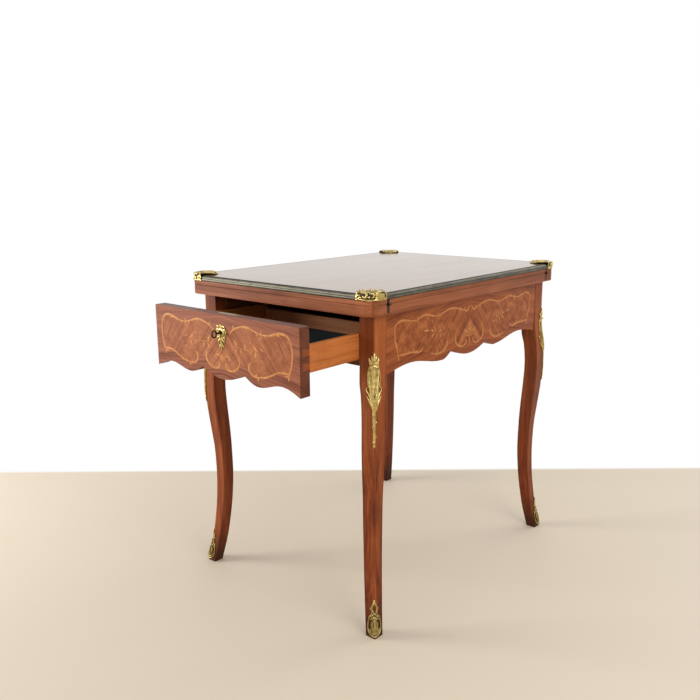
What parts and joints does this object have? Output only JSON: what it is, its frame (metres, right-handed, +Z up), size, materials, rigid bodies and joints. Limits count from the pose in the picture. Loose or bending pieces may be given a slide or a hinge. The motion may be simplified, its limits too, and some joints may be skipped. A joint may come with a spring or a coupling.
{
  "type": "games table",
  "caption": "Games table with cabriole legs, scalloped aprons, gilt mounts, a locking end drawer and a fold-over top that turns a quarter turn and opens to twice its size.",
  "frame": {"origin": "on the floor, below the middle of the whole outline with the drawer partly open", "axes": "+Z up, -Y the way the drawer opens, +X towards the edge with the fold's hinges"},
  "size_m": [0.5844, 0.9552, 0.7688],
  "materials": {
    "veneered_wood": "polished red-brown veneer with pale scroll marquetry on the aprons and the drawer front",
    "plain_wood": "unpolished brown wood",
    "drawer_wood": "waxed orange-brown wood",
    "gilt_bronze": "gilt, worn dark in the hollows",
    "patinated_brass": "dark grey-olive patina",
    "brass": "dull brass",
    "black_iron": "black iron",
    "steel": "plain steel",
    "green_baize": "green baize",
    "blue_felt": "dark blue-green felt"
  },
  "bodies": {
    "frame": {"leg_front_left": "veneered_wood", "leg_front_right": "veneered_wood", "leg_back_left": "veneered_wood", "leg_back_right": "veneered_wood", "apron_left": "veneered_wood", "apron_right": "veneered_wood", "apron_back": "veneered_wood", "front_rail": "plain_wood", "well_floor": "plain_wood", "crossbar": "plain_wood", "drawer_runner_left": "plain_wood", "drawer_runner_right": "plain_wood", "drawer_guide_left": "plain_wood", "drawer_guide_right": "plain_wood", "drawer_kicker_left": "plain_wood", "drawer_kicker_right": "plain_wood", "knee_mount_front_left": "gilt_bronze", "knee_mount_front_right": "gilt_bronze", "knee_mount_back_left": "gilt_bronze", "knee_mount_back_right": "gilt_bronze", "toe_cap_front_left": "gilt_bronze", "toe_cap_front_right": "gilt_bronze", "toe_cap_back_left": "gilt_bronze", "toe_cap_back_right": "gilt_bronze"},
    "lower_top": {"lower_leaf": "veneered_wood", "lower_baize": "green_baize", "top_pivot": "steel", "pivot_washer": "brass", "pivot_nut": "brass", "stop_peg": "plain_wood", "hinge_lower_front": "brass", "hinge_lower_back": "brass", "hinge_pin_front": "brass", "hinge_pin_back": "brass"},
    "upper_top": {"upper_leaf": "veneered_wood", "upper_baize": "green_baize", "moulding_front": "patinated_brass", "moulding_back": "patinated_brass", "moulding_left": "patinated_brass", "moulding_right": "patinated_brass", "shell_mount_front_left": "gilt_bronze", "shell_mount_front_right": "gilt_bronze", "shell_mount_back_left": "gilt_bronze", "shell_mount_back_right": "gilt_bronze", "hinge_upper_front": "brass", "hinge_upper_back": "brass"},
    "drawer": {"drawer_front": "veneered_wood", "drawer_side_left": "drawer_wood", "drawer_side_right": "drawer_wood", "drawer_back": "drawer_wood", "drawer_bottom": "drawer_wood", "drawer_lining": "blue_felt", "lock_case": "brass", "escutcheon": "gilt_bronze"},
    "key": {"key": "black_iron"},
    "bolt": {"lock_bolt": "steel"}
  },
  "joints": [
    {"name": "top_turn", "type": "hinge", "parent": "frame", "child": "lower_top", "pos_m": [0.1426, -0.05915, 0.7144], "axis": [0, 0, 1], "range_deg": [0, 90]},
    {"name": "leaf_fold", "type": "hinge", "parent": "lower_top", "child": "upper_top", "pos_m": [0.2896, 0.08485, 0.7372], "axis": [0, 1, 0], "range_deg": [0, 180]},
    {"name": "drawer_slide", "type": "slide", "parent": "frame", "child": "drawer", "axis": [0, -1, 0], "range_m": [-0.174, 0.076]},
    {"name": "key_turn", "type": "hinge", "parent": "drawer", "child": "key", "pos_m": [-0.0014, -0.45115, 0.6725], "axis": [0, 1, 0], "range_deg": [0, 180]},
    {"name": "bolt_throw", "type": "slide", "parent": "drawer", "child": "bolt", "axis": [0, 0, 1], "range_m": [0, 0.008]}
  ],
  "couplings": [
    {"joint": "key_turn", "follows": "bolt_throw", "rad_per_m": 392.6}
  ]
}
